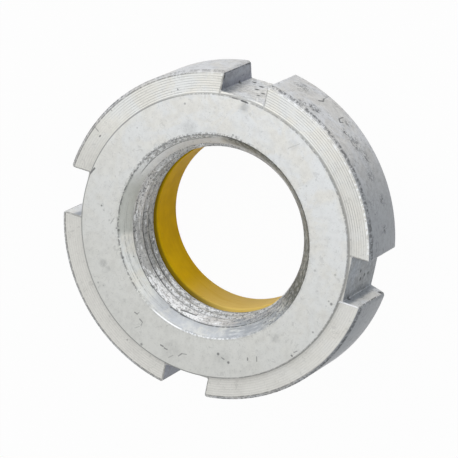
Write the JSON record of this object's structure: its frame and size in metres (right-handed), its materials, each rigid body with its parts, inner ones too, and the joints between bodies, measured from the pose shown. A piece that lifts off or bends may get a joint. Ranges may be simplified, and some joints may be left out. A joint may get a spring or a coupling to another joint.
{
  "type": "slotted round lock nut",
  "caption": "Round steel lock nut with spanner slots across its rim, a raised clamping face, a threaded bore and a plastic locking ring held behind the thread by a rolled collar.",
  "frame": {"origin": "centre of the flat underside of the collar's rolled edge, on which the nut lies", "axes": "+Z along the thread's axis, towards the raised clamping face; the spanner slots lie on +X, +Y, -X and -Y"},
  "size_m": [0.0384, 0.0384, 0.0126],
  "materials": {
    "zinc_plated_steel": "bright zinc plating over turned and milled steel, satin, with light handling marks",
    "yellow_polyamide": "smooth moulded polyamide, golden yellow, slightly glossy"
  },
  "bodies": {
    "root": {"nut_body": "zinc_plated_steel", "locking_insert": "yellow_polyamide"}
  },
  "joints": []
}
